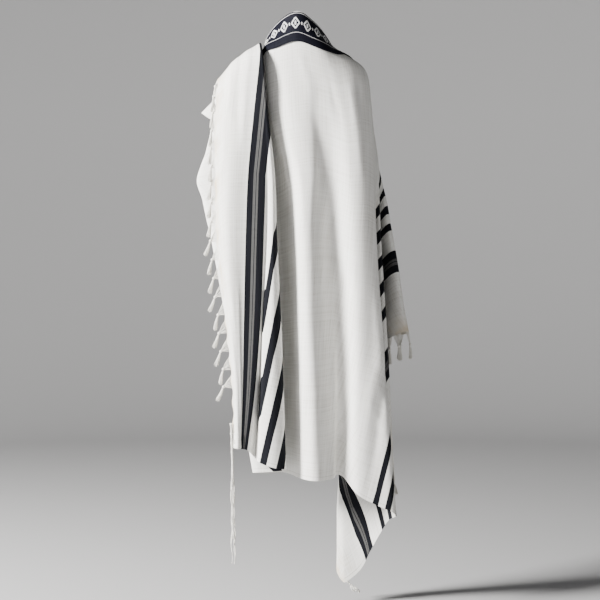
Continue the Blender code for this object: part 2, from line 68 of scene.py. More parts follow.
# Fold lines of the sheet from its left end to its right end. Each runs from the sheet's top
# edge, over the shoulder or arm, down to its lower edge.
# name, top edge (x, y, z), lift of the shoulder between top edge and crest, crest (x, y, z),
# (x, y) at chest, elbow, hip, thigh and knee, lower edge (x, y, z)
FOLD_LINES = (
    ("left_end", (-0.222, 0.205, -0.290), 0.100, (-0.225, 0.034, -0.111),
     (-0.231, -0.004), (-0.229, -0.014), (-0.226, -0.016), (-0.2025, -0.018), (-0.1815, -0.022),
     (-0.178, -0.024, -1.129)),
    ("left_border", (-0.172, 0.202, -0.225), 0.095, (-0.172, 0.000, -0.060),
     (-0.190, -0.030), (-0.195, -0.045), (-0.196, -0.050), (-0.183, -0.050), (-0.170, -0.050),
     (-0.166, -0.048, -1.129)),
    ("left_band_outer", (-0.128, 0.182, -0.158), 0.090, (-0.106, -0.010, -0.031),
     (-0.122, -0.036), (-0.138, -0.040), (-0.144, -0.042), (-0.149, -0.042), (-0.1525, -0.044),
     (-0.158, -0.042, -1.130)),
    ("left_band_inner", (-0.122, 0.180, -0.155), 0.090, (-0.1045, -0.010, -0.030),
     (-0.0945, -0.036), (-0.090, -0.036), (-0.0945, -0.036), (-0.103, -0.036), (-0.1195, -0.038),
     (-0.1405, -0.036, -1.134)),
    ("left_valley", (-0.1205, 0.179, -0.154), 0.090, (-0.1032, -0.010, -0.0295),
     (-0.0915, -0.036), (-0.084, -0.034), (-0.0875, -0.029), (-0.0985, -0.028), (-0.1090, -0.018),
     (-0.120, -0.006, -1.158)),
    ("left_pleat", (-0.119, 0.178, -0.153), 0.090, (-0.102, -0.010, -0.029),
     (-0.0885, -0.036), (-0.078, -0.036), (-0.0805, -0.034), (-0.0945, -0.034), (-0.0995, -0.036),
     (-0.1065, -0.036, -1.168)),
    ("left_pleat_middle", (-0.1175, 0.177, -0.152), 0.090, (-0.1008, -0.009, -0.0285),
     (-0.0855, -0.034), (-0.070, -0.036), (-0.068, -0.038), (-0.067, -0.042), (-0.067, -0.044),
     (-0.067, -0.044, -1.182)),
    ("left_turn", (-0.115, 0.170, -0.148), 0.084, (-0.099, -0.002, -0.028),
     (-0.083, -0.020), (-0.0645, -0.020), (-0.0585, -0.020), (-0.0465, -0.020), (-0.0385, -0.020),
     (-0.033, -0.020, -1.190)),
    ("under_near", (-0.125, 0.162, -0.142), 0.070, (-0.112, 0.010, -0.037),
     (-0.098, 0.002), (-0.088, 0.006), (-0.085, 0.008), (-0.078, 0.010), (-0.072, 0.010),
     (-0.066, 0.010, -1.198)),
    ("under_middle", (-0.166, 0.180, -0.195), 0.072, (-0.165, 0.028, -0.078),
     (-0.190, 0.014), (-0.190, 0.012), (-0.172, 0.012), (-0.145, 0.014), (-0.118, 0.016),
     (-0.098, 0.016, -1.201)),
    ("elbow_turn", (-0.202, 0.168, -0.250), 0.074, (-0.213, 0.070, -0.117),
     (-0.2445, 0.034), (-0.279, 0.030), (-0.243, 0.030), (-0.198, 0.030), (-0.157, 0.030),
     (-0.126, 0.030, -1.204)),
    ("back_far_left", (-0.138, 0.142, -0.144), 0.026, (-0.168, 0.068, -0.098),
     (-0.190, 0.044), (-0.202, 0.046), (-0.190, 0.046), (-0.165, 0.046), (-0.140, 0.046),
     (-0.115, 0.046, -1.207)),
    ("back_left", (-0.102, 0.122, -0.072), 0.010, (-0.128, 0.052, -0.060),
     (-0.140, 0.052), (-0.140, 0.056), (-0.138, 0.058), (-0.128, 0.060), (-0.112, 0.062),
     (-0.096, 0.062, -1.209)),
    ("recess", (-0.093, 0.104, -0.030), 0.004, (-0.108, 0.040, -0.041),
     (-0.098, 0.048), (-0.078, 0.066), (-0.062, 0.080), (-0.052, 0.088), (-0.046, 0.092),
     (-0.041, 0.092, -1.211)),
    ("recess_wall", (-0.089, 0.092, -0.002), 0.004, (-0.097, 0.030, -0.029),
     (-0.086, 0.034), (-0.052, 0.044), (-0.034, 0.052), (-0.025, 0.056), (-0.020, 0.058),
     (-0.016, 0.058, -1.213)),
    ("ridge_left", (-0.086, 0.080, 0.020), 0.002, (-0.084, 0.018, -0.017),
     (-0.076, 0.008), (-0.030, 0.008), (-0.013, 0.010), (-0.006, 0.012), (-0.001, 0.012),
     (0.000, 0.012, -1.215)),
    ("ridge_top", (-0.043, 0.026, 0.067), 0.000, (-0.043, 0.001, -0.005),
     (-0.030, -0.018), (0.006, -0.030), (0.017, -0.035), (0.028, -0.036), (0.036, -0.036),
     (0.044, -0.036, -1.219)),
    ("ridge_right", (0.000, 0.000, 0.083), 0.000, (0.000, -0.005, 0.000),
     (0.026, -0.018), (0.048, -0.022), (0.056, -0.018), (0.067, -0.012), (0.080, -0.008),
     (0.090, -0.006, -1.218)),
    ("valley", (0.036, 0.020, 0.063), 0.000, (0.045, 0.001, -0.001),
     (0.076, -0.006), (0.090, 0.006), (0.094, 0.018), (0.105, 0.024), (0.111, 0.024),
     (0.117, 0.020, -1.209)),
    ("second_ridge", (0.084, 0.088, 0.016), 0.002, (0.100, 0.024, -0.031),
     (0.130, -0.004), (0.145, -0.012), (0.155, -0.012), (0.161, -0.010), (0.164, -0.008),
     (0.167, -0.006, -1.262)),
    ("flank", (0.115, 0.145, -0.060), 0.030, (0.152, 0.048, -0.053),
     (0.175, 0.010), (0.189, 0.002), (0.195, 0.000), (0.204, 0.000), (0.214, 0.000),
     (0.217, 0.000, -1.290)),
    ("right_turn", (0.136, 0.172, -0.100), 0.040, (0.192, 0.074, -0.073),
     (0.206, 0.040), (0.2115, 0.030), (0.2205, 0.025), (0.2385, 0.020), (0.2585, 0.015),
     (0.272, 0.010, -1.318)),
    ("cascade_1", (0.138, 0.180, -0.108), 0.040, (0.195, 0.088, -0.082),
     (0.209, 0.056), (0.219, 0.046), (0.212, 0.056), (0.222, 0.066), (0.240, 0.075),
     (0.255, 0.080, -1.347)),
    ("cascade_2", (0.139, 0.184, -0.112), 0.040, (0.1955, 0.100, -0.089),
     (0.212, 0.070), (0.222, 0.061), (0.195, 0.085), (0.190, 0.105), (0.200, 0.130),
     (0.210, 0.145, -1.440)),
    ("cascade_3", (0.140, 0.188, -0.116), 0.040, (0.196, 0.109, -0.093),
     (0.2140, 0.082), (0.224, 0.070), (0.183, 0.100), (0.165, 0.125), (0.155, 0.150),
     (0.180, 0.158, -1.500)),
    ("low_corner", (0.141, 0.191, -0.119), 0.040, (0.196, 0.117, -0.097),
     (0.2155, 0.092), (0.228, 0.079), (0.175, 0.112), (0.147, 0.140), (0.125, 0.160),
     (0.1335, 0.165, -1.538)),
    ("cascade_turn", (0.142, 0.194, -0.122), 0.040, (0.196, 0.125, -0.100),
     (0.216, 0.102), (0.228, 0.088), (0.170, 0.126), (0.137, 0.155), (0.118, 0.180),
     (0.112, 0.185, -1.500)),
    ("cascade_4", (0.143, 0.197, -0.125), 0.040, (0.195, 0.134, -0.102),
     (0.2165, 0.112), (0.228, 0.0975), (0.200, 0.137), (0.185, 0.170), (0.185, 0.205),
     (0.190, 0.225, -1.360)),
    ("strip_turn", (0.1435, 0.199, -0.127), 0.040, (0.1945, 0.141, -0.1035),
     (0.2168, 0.119), (0.229, 0.105), (0.234, 0.104), (0.247, 0.106), (0.258, 0.118),
     (0.266, 0.134, -1.190)),
    ("strip_turn_far", (0.1442, 0.2012, -0.1292), 0.040, (0.1938, 0.146, -0.1048),
     (0.2166, 0.125), (0.2293, 0.112), (0.236, 0.118), (0.252, 0.130), (0.266, 0.146),
     (0.274, 0.164, -1.170)),
    ("cascade_5", (0.145, 0.203, -0.131), 0.040, (0.192, 0.152, -0.107),
     (0.216, 0.133), (0.2293, 0.119), (0.214, 0.152), (0.215, 0.198), (0.213, 0.238),
     (0.212, 0.264, -1.100)),
    ("far_turn", (0.1456, 0.2048, -0.1328), 0.040, (0.1908, 0.158, -0.109),
     (0.2152, 0.141), (0.2295, 0.126), (0.192, 0.186), (0.176, 0.262), (0.166, 0.318),
     (0.160, 0.352, -1.000)),
    ("far_turn_front", (0.1464, 0.2072, -0.1352), 0.039, (0.1892, 0.164, -0.111),
     (0.214, 0.147), (0.2298, 0.132), (0.202, 0.198), (0.198, 0.282), (0.190, 0.342),
     (0.186, 0.378, -0.965)),
    ("cascade_6", (0.147, 0.209, -0.138), 0.038, (0.188, 0.170, -0.114),
     (0.213, 0.156), (0.232, 0.139), (0.226, 0.168), (0.232, 0.222), (0.232, 0.250),
     (0.230, 0.270, -0.870)),
    ("side_edge", (0.148, 0.212, -0.142), 0.036, (0.186, 0.180, -0.120),
     (0.212, 0.170), (0.240, 0.149), (0.254, 0.132), (0.2765, 0.127), (0.293, 0.122),
     (0.308, 0.117, -0.810)),
    ("side_edge_far", (0.1486, 0.2140, -0.1450), 0.035, (0.1840, 0.186, -0.125),
     (0.210, 0.178), (0.242, 0.160), (0.260, 0.146), (0.2845, 0.143), (0.303, 0.139),
     (0.318, 0.136, -0.815)),
    ("side_middle", (0.150, 0.218, -0.152), 0.030, (0.178, 0.200, -0.140),
     (0.204, 0.200), (0.240, 0.205), (0.252, 0.217), (0.262, 0.224), (0.266, 0.224),
     (0.268, 0.220, -0.828)),
    ("right_end_front", (0.152, 0.224, -0.165), 0.010, (0.165, 0.226, -0.190),
     (0.190, 0.240), (0.226, 0.290), (0.229, 0.325), (0.232, 0.340), (0.234, 0.350),
     (0.234, 0.352, -0.850)),
)

# Place of each fold line on the flat cloth, in metres from its middle along its length.
# name, along at the top edge, crest, chest, elbow, hip, thigh, knee and lower edge, distance of
# the lower end from the cloth's top edge, mesh steps to the next line
CLOTH_PLACES = (
    ("left_end", -0.900, -0.900, -0.900, -0.900, -0.900, -0.900, -0.900, -0.900, 1.30, 18),
    ("left_border", -0.810, -0.810, -0.810, -0.810, -0.810, -0.810, -0.810, -0.810, 1.30, 18),
    ("left_band_outer", -0.720, -0.720, -0.720, -0.720, -0.720, -0.720, -0.720, -0.720, 1.30, 14),
    ("left_band_inner", -0.719, -0.719, -0.684, -0.655, -0.655, -0.655, -0.655, -0.655, 1.30, 6),
    ("left_valley", -0.718, -0.718, -0.680, -0.648, -0.625, -0.600, -0.575, -0.600, 1.30, 6),
    ("left_pleat", -0.717, -0.717, -0.676, -0.640, -0.615, -0.572, -0.5165, -0.480, 1.30, 8),
    ("left_pleat_middle", -0.716, -0.716, -0.672, -0.6315, -0.586, -0.5307, -0.4750, -0.4310, 1.30,
     8),
    ("left_turn", -0.715, -0.715, -0.668, -0.625, -0.5736, -0.502, -0.436, -0.3865, 1.30, 6),
    ("under_near", -0.690, -0.690, -0.640, -0.600, -0.540, -0.460, -0.390, -0.345, 1.30, 14),
    ("under_middle", -0.420, -0.400, -0.345, -0.344, -0.343, -0.342, -0.341, -0.340, 1.30, 12),
    ("elbow_turn", -0.290, -0.290, -0.300, -0.330, -0.300, -0.300, -0.300, -0.300, 1.30, 12),
    ("back_far_left", -0.235, -0.235, -0.245, -0.270, -0.255, -0.255, -0.250, -0.240, 1.30, 8),
    ("back_left", -0.180, -0.180, -0.195, -0.215, -0.205, -0.200, -0.195, -0.190, 1.30, 12),
    ("recess", -0.130, -0.130, -0.125, -0.120, -0.110, -0.100, -0.090, -0.080, 1.30, 8),
    ("recess_wall", -0.115, -0.110, -0.100, -0.090, -0.070, -0.050, -0.030, -0.020, 1.30, 10),
    ("ridge_left", -0.100, -0.090, -0.075, -0.060, -0.030, 0.000, 0.030, 0.060, 1.30, 10),
    ("ridge_top", -0.045, -0.040, -0.025, -0.010, 0.025, 0.060, 0.090, 0.120, 1.30, 10),
    ("ridge_right", 0.000, 0.010, 0.025, 0.040, 0.080, 0.115, 0.150, 0.190, 1.30, 10),
    ("valley", 0.050, 0.055, 0.070, 0.085, 0.120, 0.155, 0.190, 0.232, 1.30, 10),
    ("second_ridge", 0.110, 0.115, 0.130, 0.145, 0.170, 0.190, 0.230, 0.290, 1.30, 10),
    ("flank", 0.165, 0.170, 0.180, 0.190, 0.205, 0.222, 0.290, 0.358, 1.30, 10),
    ("right_turn", 0.200, 0.205, 0.210, 0.216, 0.226, 0.245, 0.360, 0.455, 1.30, 10),
    ("cascade_1", 0.205, 0.210, 0.230, 0.250, 0.300, 0.380, 0.480, 0.545, 1.30, 10),
    ("cascade_2", 0.210, 0.215, 0.240, 0.270, 0.370, 0.480, 0.585, 0.668, 1.30, 10),
    ("cascade_3", 0.212, 0.217, 0.243, 0.278, 0.400, 0.535, 0.657, 0.765, 1.30, 10),
    ("low_corner", 0.215, 0.219, 0.246, 0.283, 0.410, 0.570, 0.725, 0.900, 1.30, 8),
    ("cascade_turn", 0.217, 0.221, 0.248, 0.285, 0.415, 0.580, 0.745, 0.900, 1.22, 12),
    ("cascade_4", 0.218, 0.223, 0.251, 0.288, 0.417, 0.590, 0.757, 0.900, 1.00, 12),
    ("strip_turn", 0.219, 0.225, 0.254, 0.292, 0.419, 0.600, 0.770, 0.900, 0.81, 6),
    ("strip_turn_far", 0.220, 0.226, 0.256, 0.300, 0.423, 0.602, 0.772, 0.900, 0.77, 8),
    ("cascade_5", 0.221, 0.227, 0.260, 0.315, 0.435, 0.612, 0.776, 0.900, 0.68, 10),
    ("far_turn", 0.222, 0.228, 0.268, 0.345, 0.465, 0.640, 0.786, 0.900, 0.55, 6),
    ("far_turn_front", 0.223, 0.229, 0.270, 0.350, 0.468, 0.642, 0.788, 0.900, 0.50, 10),
    ("cascade_6", 0.225, 0.231, 0.277, 0.390, 0.500, 0.660, 0.794, 0.900, 0.42, 12),
    ("side_edge", 0.228, 0.235, 0.290, 0.428, 0.525, 0.675, 0.800, 0.900, 0.30, 6),
    ("side_edge_far", 0.230, 0.237, 0.295, 0.433, 0.528, 0.677, 0.801, 0.900, 0.28, 10),
    ("side_middle", 0.235, 0.242, 0.300, 0.440, 0.535, 0.680, 0.803, 0.900, 0.15, 10),
    ("right_end_front", 0.240, 0.247, 0.305, 0.445, 0.540, 0.683, 0.805, 0.900, 0.00, 0),
)

# After this line, below the hip, some cloth is tucked away in the bottom of the crease
TUCKED_LINE = "left_valley"
TUCK = 0.08

# Where the layer beside the left shoulder and elbow stands out in a point, or lies in between.
# height of the point's top, tip and foot, reach (inwards below zero)
POINTED_LINE = "elbow_turn"
POINTED_COLUMNS = 11
POINTS = (
    (-0.140, -0.196, -0.217, 0.040),
    (-0.245, -0.312, -0.372, -0.0075),
    (-0.350, -0.389, -0.425, 0.0045),
    (-0.400, -0.440, -0.500, -0.0040),
)

# Creases of the cloth, on the flat cloth. along and down at the start, along and down at the
# end, half width, height (a trough is below zero)
CREASES = (
    # right edge of the broad ridge on the back, and the trough beside it
    (0.128, 0.700, 0.150, 0.900, 0.012, 0.0050),
    (0.150, 0.900, 0.202, 1.300, 0.011, 0.0085),
    (0.152, 0.700, 0.175, 0.900, 0.015, -0.0060),
    (0.175, 0.900, 0.226, 1.300, 0.015, -0.0100),
    # long soft folds down the back
    (-0.015, 0.300, 0.050, 0.800, 0.016, -0.0022),
    (0.070, 0.250, 0.100, 0.640, 0.022, 0.0026),
    (0.060, 0.780, 0.095, 1.300, 0.014, -0.0016),
    (0.236, 0.760, 0.268, 1.200, 0.016, 0.0030),
    (0.275, 0.820, 0.318, 1.300, 0.013, -0.0026),
    (0.046, 0.240, 0.070, 0.620, 0.015, -0.0060),
    # pulls that fall from the collar and the right shoulder
    (0.010, 0.110, 0.062, 0.330, 0.012, 0.0016),
    (0.085, 0.140, 0.120, 0.330, 0.011, -0.0016),
    (0.150, 0.170, 0.172, 0.420, 0.010, 0.0016),
    (0.178, 0.180, 0.196, 0.380, 0.008, -0.0014),
    (-0.055, 0.130, -0.030, 0.300, 0.010, -0.0013),
    # small waves across the lower back
    (0.030, 0.985, 0.110, 1.010, 0.012, -0.0009),
    (0.050, 1.075, 0.150, 1.060, 0.014, 0.0010),
    (0.240, 0.930, 0.330, 1.000, 0.013, -0.0012),
    (0.250, 1.040, 0.345, 1.110, 0.012, 0.0012),
    # left end, from the shoulder down
    (-0.800, 0.230, -0.780, 0.460, 0.011, -0.0028),
    (-0.835, 0.250, -0.815, 0.420, 0.009, 0.0022),
    (-0.765, 0.220, -0.750, 0.520, 0.012, 0.0022),
    (-0.870, 0.290, -0.845, 0.400, 0.007, -0.0018),
    (-0.830, 0.480, -0.860, 0.720, 0.013, 0.0020),
    (-0.850, 0.800, -0.780, 1.100, 0.015, -0.0016),
    (-0.760, 0.900, -0.745, 1.280, 0.012, 0.0014),
    # the under layer beside the left elbow
    (-0.370, 0.300, -0.352, 0.480, 0.009, 0.0024),
    (-0.390, 0.380, -0.372, 0.620, 0.010, -0.0024),
    (-0.345, 0.520, -0.355, 0.860, 0.010, 0.0018),
    # the cascade and the right side
    (0.330, 0.360, 0.470, 0.560, 0.010, 0.0022),
    (0.380, 0.300, 0.560, 0.440, 0.011, -0.0020),
    (0.600, 0.640, 0.740, 0.760, 0.010, 0.0018),
    (0.700, 0.980, 0.850, 1.160, 0.011, -0.0022),
    (0.640, 0.300, 0.840, 0.260, 0.014, -0.0022),
    (0.480, 0.140, 0.780, 0.120, 0.016, 0.0026),
)

# Puckers of the cloth beside the left fringe
PUCKER_LENGTH = 0.056      # from one to the next
PUCKER_HEIGHT = 0.0022
PUCKER_REACH = 0.030       # from the cloth's end

# Woven stripes, by distance from the cloth's end. start, end, darkness, share of fine pale lines
STRIPES = (
    (0.1800, 0.2015, 1.00, 0.0),
    (0.2015, 0.2095, 0.96, 1.0),
    (0.2095, 0.2112, 1.00, 0.0),
    (0.2112, 0.2190, 0.96, 1.0),
    (0.2190, 0.2450, 1.00, 0.0),
    (0.310, 0.335, 1.00, 0.0),
    (0.365, 0.390, 1.00, 0.0),
    (0.420, 0.445, 1.00, 0.0),
    (0.475, 0.500, 1.00, 0.0),
    (0.530, 0.555, 1.00, 0.0),
)
STRIPE_REACH = 0.60        # far enough from the end for all of them

# Stitched hem along the lower edge
HEM = 0.010
HEM_SEAM = 0.0007          # half width of the stitch line

# Collar band
BAND_WIDTH = 0.085
BAND_OFF = 0.0040
BAND_WALL = 0.0013
BAND_FROM = "back_left"
BAND_TO = "cascade_3"
BAND_LINES = (0.006, 0.060)  # woven lines, from the cloth's top edge
MOTIF_HEIGHT = 0.031
MOTIF_WIDTH = 0.022
MOTIF_PITCH = 0.035

# Corner patches. name, fold line of the corner, end of that line, neighbour line
PATCH = 0.042
PATCH_INSET = 0.002
PATCH_OFF = 0.0025
PATCH_WALL = 0.0013
PATCHES = (
    ("patch_lower_left", "left_end", "low", "left_band_inner"),
    ("patch_upper_left", "left_end", "top", "left_border"),
    ("patch_lower_right", "low_corner", "low", "cascade_2"),
    ("patch_upper_right", "right_end_front", "low", "side_middle"),
)

# Fringe
LEFT_FRINGE_COUNT = 23
LEFT_FRINGE_ROWS = sum(ROW_STEPS[:-1]) + 1  # the left fringe ends at knee height
RIGHT_FRINGE_COUNT = 25
RIGHT_FRINGE_FROM = "cascade_turn"          # a hand above the lowest corner
EDGE_ROOM = 0.0013
TAPE_WIDTH = 0.005
TASSEL_ROOT = 0.0180       # half width where the strings leave the cloth
TASSEL_STRINGS = 8
TASSEL_GATHER = 0.022
TASSEL_BRUSH = 0.045
TASSEL_THREADS = 26
TASSEL_SPREAD = 0.0062     # half width of the brush
THREAD_RADIUS = 0.00065
HUGGING_HEIGHTS = (-0.60, -0.36)  # between these the tassels come closer to the cloth
HUGGING_SHARES = (1.0, 0.30)      # shares of their usual stand and lean below and above

# Corner tassels. name, top of the cord (x, y, z), wound length, strand length, lean of the cord
# and of the strands (x, y), spread of the strand ends
CORNER_TASSELS = (
    ("tassel_lower_left", (-0.1848, -0.0328, -1.062), 0.105, 0.285, (0.004, 0.000),
     (0.003, 0.000), 0.004),
    ("tassel_upper_left", (-0.2195, 0.2088, -0.290), 0.105, 0.285, (0.000, 0.006),
     (0.003, 0.012), 0.013),
    ("tassel_lower_right", (0.1424, 0.1584, -1.5334), 0.012, 0.020, (0.012, 0.000),
     (0.016, 0.002), 0.012),
    ("tassel_upper_right", (0.2352, 0.3554, -0.8561), 0.105, 0.285, (0.000, 0.004),
     (0.003, 0.010), 0.013),
)
WINDINGS = (7, 8, 11, 13)  # turns of thread between two knots
CORD_RADIUS = 0.0030
STRANDS = 8
STRAND_RADIUS = 0.0010

# Camera
CAMERA_PLACE = (0.0056, -4.0, -0.720)
CAMERA_LENS = 86.3
SENSOR = 36.0

# Room
FLOOR_Z = -1.600
WALL_DISTANCE = 7.5
WALL_TOP = 4.0
SWEEP = 2.4
STAGE_SIDES = 96

rng = np.random.default_rng(7)


# Cloth in space

def control_net():
    """Points of every fold line at nine heights, from the top edge to the lower edge."""
    net = []
    for name, top, lift, crest, chest, elbow, hip, thigh, knee, low in FOLD_LINES:
        middle = (np.array(top) + np.array(crest)) / 2 + np.array((0.0, 0.0, lift))
        chest_z = crest[2] + CHEST_SHARE * (ELBOW_Z - crest[2])
        line = [top, middle, crest, (*chest, chest_z), (*elbow, ELBOW_Z)]
        for share, (x, y) in zip(LOW_SHARES, (hip, thigh, knee)):
            line.append((x, y, ELBOW_Z + share * (low[2] - ELBOW_Z)))
        line.append(low)
        net.append(line)
    return np.array(net, dtype=float)


def smooth(points, steps, bends=1.0):
    """A smooth curve through points, along the first axis, with a number of parts per span.

    The bends are shares of the curve's usual bend at the points.
    """
    gaps = np.linalg.norm(np.diff(points, axis=0), axis=-1, keepdims=True) ** 0.5
    slopes = np.diff(points, axis=0) / gaps
    inner = (slopes[:-1] * gaps[1:] + slopes[1:] * gaps[:-1]) / (gaps[:-1] + gaps[1:])
    usual = (gaps[:-1] + gaps[1:]) / 2
    inner *= (usual / np.linalg.norm(inner, axis=-1, keepdims=True)) ** ROUNDNESS
    tangents = np.concatenate([slopes[:1], inner, slopes[-1:]]) * bends
    curve = []
    for k, parts in enumerate(steps):
        for t in np.arange(parts) / parts:
            curve.append(
                (2 * t**3 - 3 * t**2 + 1) * points[k]
                + (t**3 - 2 * t**2 + t) * gaps[k] * tangents[k]
                + (3 * t**2 - 2 * t**3) * points[k + 1]
                + (t**3 - t**2) * gaps[k] * tangents[k + 1]
            )
    curve.append(points[-1])
    return np.array(curve)


def directions(grid, axis):
    """Unit directions of a grid's lines at its points, halfway between those of both sides."""
    ways = np.diff(grid, axis=axis)
    ways /= np.linalg.norm(ways, axis=-1, keepdims=True)
    first = np.take(ways, [0], axis=axis)
    last = np.take(ways, [-1], axis=axis)
    return np.concatenate([first, ways], axis=axis) + np.concatenate([ways, last], axis=axis)


def grid_normals(grid):
    """Unit normals of a grid, away from the wearer on the back."""
    normals = np.cross(directions(grid, 1), directions(grid, 0))
    return normals / np.linalg.norm(normals, axis=-1, keepdims=True)


def run_lengths(lines):
    """Distance from the start of each line at each of its points, lines along the first axis."""
    gaps = np.linalg.norm(np.diff(lines, axis=1), axis=-1)
    return np.concatenate([np.zeros((len(lines), 1)), np.cumsum(gaps, axis=1)], axis=1)


def add_points(sheet, columns):
    """Push one fold line outwards in small peaks, and the cloth beside it by less."""
    middle = columns[POINTED_LINE]
    for column in range(middle - POINTED_COLUMNS, middle + POINTED_COLUMNS):
        share = 1.0 - abs(column - middle) / POINTED_COLUMNS
        line = sheet[column]
        behind = line[:, 1] < 0.10
        for top, tip, foot, reach in POINTS:
            height = np.interp(line[:, 2], (foot, tip, top), (0, 1, 0))
            line[:, 0] -= share * reach * height * behind


def cloth_places(sheet, columns):
    """Place of every grid point on the flat cloth: along its length, and from its top edge."""
    rows = np.cumsum((0, *ROW_STEPS))[[0, 2, 3, 4, 5, 6, 7, 8]]
    runs = run_lengths(sheet)
    along = np.zeros(sheet.shape[:2])
    down = np.zeros(sheet.shape[:2])
    for name, *heights, low_v, steps in CLOTH_PLACES:
        run = runs[columns[name]]
        along[columns[name]] = np.interp(run, run[rows], heights)
        down[columns[name]] = low_v * run / run[-1]
    across = run_lengths(sheet.transpose(1, 0, 2)).T
    tucked = columns[TUCKED_LINE]
    hip = rows[4]
    lines = sorted(columns.values())
    for first, last in zip(lines, lines[1:]):
        for row in range(sheet.shape[1]):
            run = across[first : last + 1, row]
            share = (run - run[0]) / (run[-1] - run[0])
            if first == tucked and row > hip:
                share = share**TUCK
            for field in (along, down):
                ends = field[first, row], field[last, row]
                field[first : last + 1, row] = ends[0] + share * (ends[1] - ends[0])
    return along, down


def crease(sheet, along, down):
    """The sheet with its creases and puckers, as soft troughs and ridges."""
    rise = np.zeros(along.shape)
    place = np.stack([along, down], axis=-1)
    for start_u, start_v, end_u, end_v, half_width, height in CREASES:
        start = np.array((start_u, start_v))
        way = np.array((end_u, end_v)) - start
        share = ((place - start) @ way) / way.dot(way)
        nearest = start + np.clip(share, 0, 1)[..., None] * way
        apart = np.linalg.norm(place - nearest, axis=-1)
        fade = np.clip(1.15 - np.abs(2 * np.clip(share, 0, 1) - 1), 0, 1) ** 0.5
        wander = 1 + 0.25 * np.sin(9 * share + 40 * start_u)
        rise += height * fade * wander * np.exp(-((apart / half_width) ** 2))
    from_end = along + CLOTH_LENGTH / 2
    wave = np.sin(2 * math.pi * down / PUCKER_LENGTH + 1.5 * np.sin(7 * down))
    rise += PUCKER_HEIGHT * wave * np.exp(-from_end / PUCKER_REACH) * (down > 0.25)
    return sheet + rise[..., None] * grid_normals(sheet)


def whole_sheet():
    """The middle of the cloth as a grid, its places on the flat cloth, and the fold lines."""
    steps = {row[0]: row[-1] for row in CLOTH_PLACES}
    net = control_net()
    bends = np.ones(net.shape[:2] + (1,))
    bends[list(steps).index(CORNER_LINE), -1] = CORNER_BEND
    across = smooth(net, [row[-1] for row in CLOTH_PLACES[:-1]], bends)
    sheet = smooth(across.transpose(1, 0, 2), ROW_STEPS).transpose(1, 0, 2)
    columns = {}
    column = 0
    for name, parts in steps.items():
        columns[name] = column
        column += parts
    add_points(sheet, columns)
    along, down = cloth_places(sheet, columns)
    return crease(sheet, along, down), along, down, columns


# Meshes

def add_mesh(name, verts, faces, uvs, material, smooth_faces=True):
    """Make an object of the given material, with the map "place" holding the given values."""
    mesh = bpy.data.meshes.new(name)
    mesh.from_pydata([tuple(v) for v in verts], [], faces)
    if uvs is not None:
        layer = mesh.uv_layers.new(name="place")
        loops = np.zeros(len(mesh.loops), dtype=np.int32)
        mesh.loops.foreach_get("vertex_index", loops)
        layer.data.foreach_set("uv", np.asarray(uvs, dtype=np.float32)[loops].ravel())
    mesh.update()
    bm = bmesh.new()
    bm.from_mesh(mesh)
    bmesh.ops.recalc_face_normals(bm, faces=bm.faces)
    bm.to_mesh(mesh)
    bm.free()
    if smooth_faces:
        mesh.shade_smooth()
        mesh.set_sharp_from_angle(angle=math.radians(60))
    mesh.materials.append(material)
    thing = bpy.data.objects.new(name, mesh)
    bpy.context.scene.collection.objects.link(thing)
    return thing


def wall_mesh(name, middle, normals, wall, along, down, material):
    """A closed thin wall round a grid of points."""
    wide, high = middle.shape[:2]
    verts = np.concatenate(
        [(middle + side * wall * normals).reshape(-1, 3) for side in (0.5, -0.5)]
    )
    uv = np.stack([along.ravel(), down.ravel()], axis=1)
    index = np.arange(wide * high).reshape(wide, high)
    quads = np.stack(
        [index[:-1, :-1], index[:-1, 1:], index[1:, 1:], index[1:, :-1]], axis=-1
    ).reshape(-1, 4)
    back = wide * high
    faces = [tuple(q) for q in quads] + [tuple(q[::-1] + back) for q in quads]
    rim = np.concatenate([index[:, 0], index[-1, 1:], index[-2::-1, -1], index[0, -2:0:-1]])
    for a, b in zip(rim, np.roll(rim, -1)):
        faces.append((a, b, b + back, a + back))
    return add_mesh(name, verts, faces, np.concatenate([uv, uv]), material)


class Threads:
    """Collects many thin tubes into one mesh."""

    def __init__(self):
        self.verts = []
        self.faces = []
        self.uvs = []

    def tube(self, path, radii, sides=5):
        """A round tube along a path, closed at both ends."""
        path = np.asarray(path, dtype=float)
        radii = np.broadcast_to(np.asarray(radii, dtype=float), (len(path),))
        ways = np.gradient(path, axis=0)
        ways /= np.linalg.norm(ways, axis=1, keepdims=True)
        side = np.cross(ways[0], (0.31, 0.87, 0.38))
        run = 0.0
        start = len(self.verts)
        for k, (point, way, radius) in enumerate(zip(path, ways, radii)):
            side = side - side.dot(way) * way
            side /= np.linalg.norm(side)
            other = np.cross(way, side)
            if k:
                run += float(np.linalg.norm(path[k] - path[k - 1]))
            for a in range(sides):
                angle = 2 * math.pi * a / sides
                offset = math.cos(angle) * side + math.sin(angle) * other
                self.verts.append(point + radius * offset)
                self.uvs.append((run, a / sides))
        for k in range(len(path) - 1):
            for a in range(sides):
                b = (a + 1) % sides
                low = start + k * sides
                self.faces.append((low + a, low + b, low + sides + b, low + sides + a))
        last = start + (len(path) - 1) * sides
        self.faces.append(tuple(range(start + sides - 1, start - 1, -1)))
        self.faces.append(tuple(range(last, last + sides)))

    def make(self, name, material):
        return add_mesh(name, self.verts, self.faces, self.uvs, material)


def curve_points(points, count):
    """Points evenly spaced on a smooth curve through the given ones."""
    points = np.asarray(points, dtype=float)
    fine = smooth(points, [12] * (len(points) - 1))
    run = run_lengths(fine[None])[0]
    stops = np.linspace(0.0, run[-1], count)
    return np.stack([np.interp(stops, run, fine[:, k]) for k in range(3)], axis=1)


# Materials

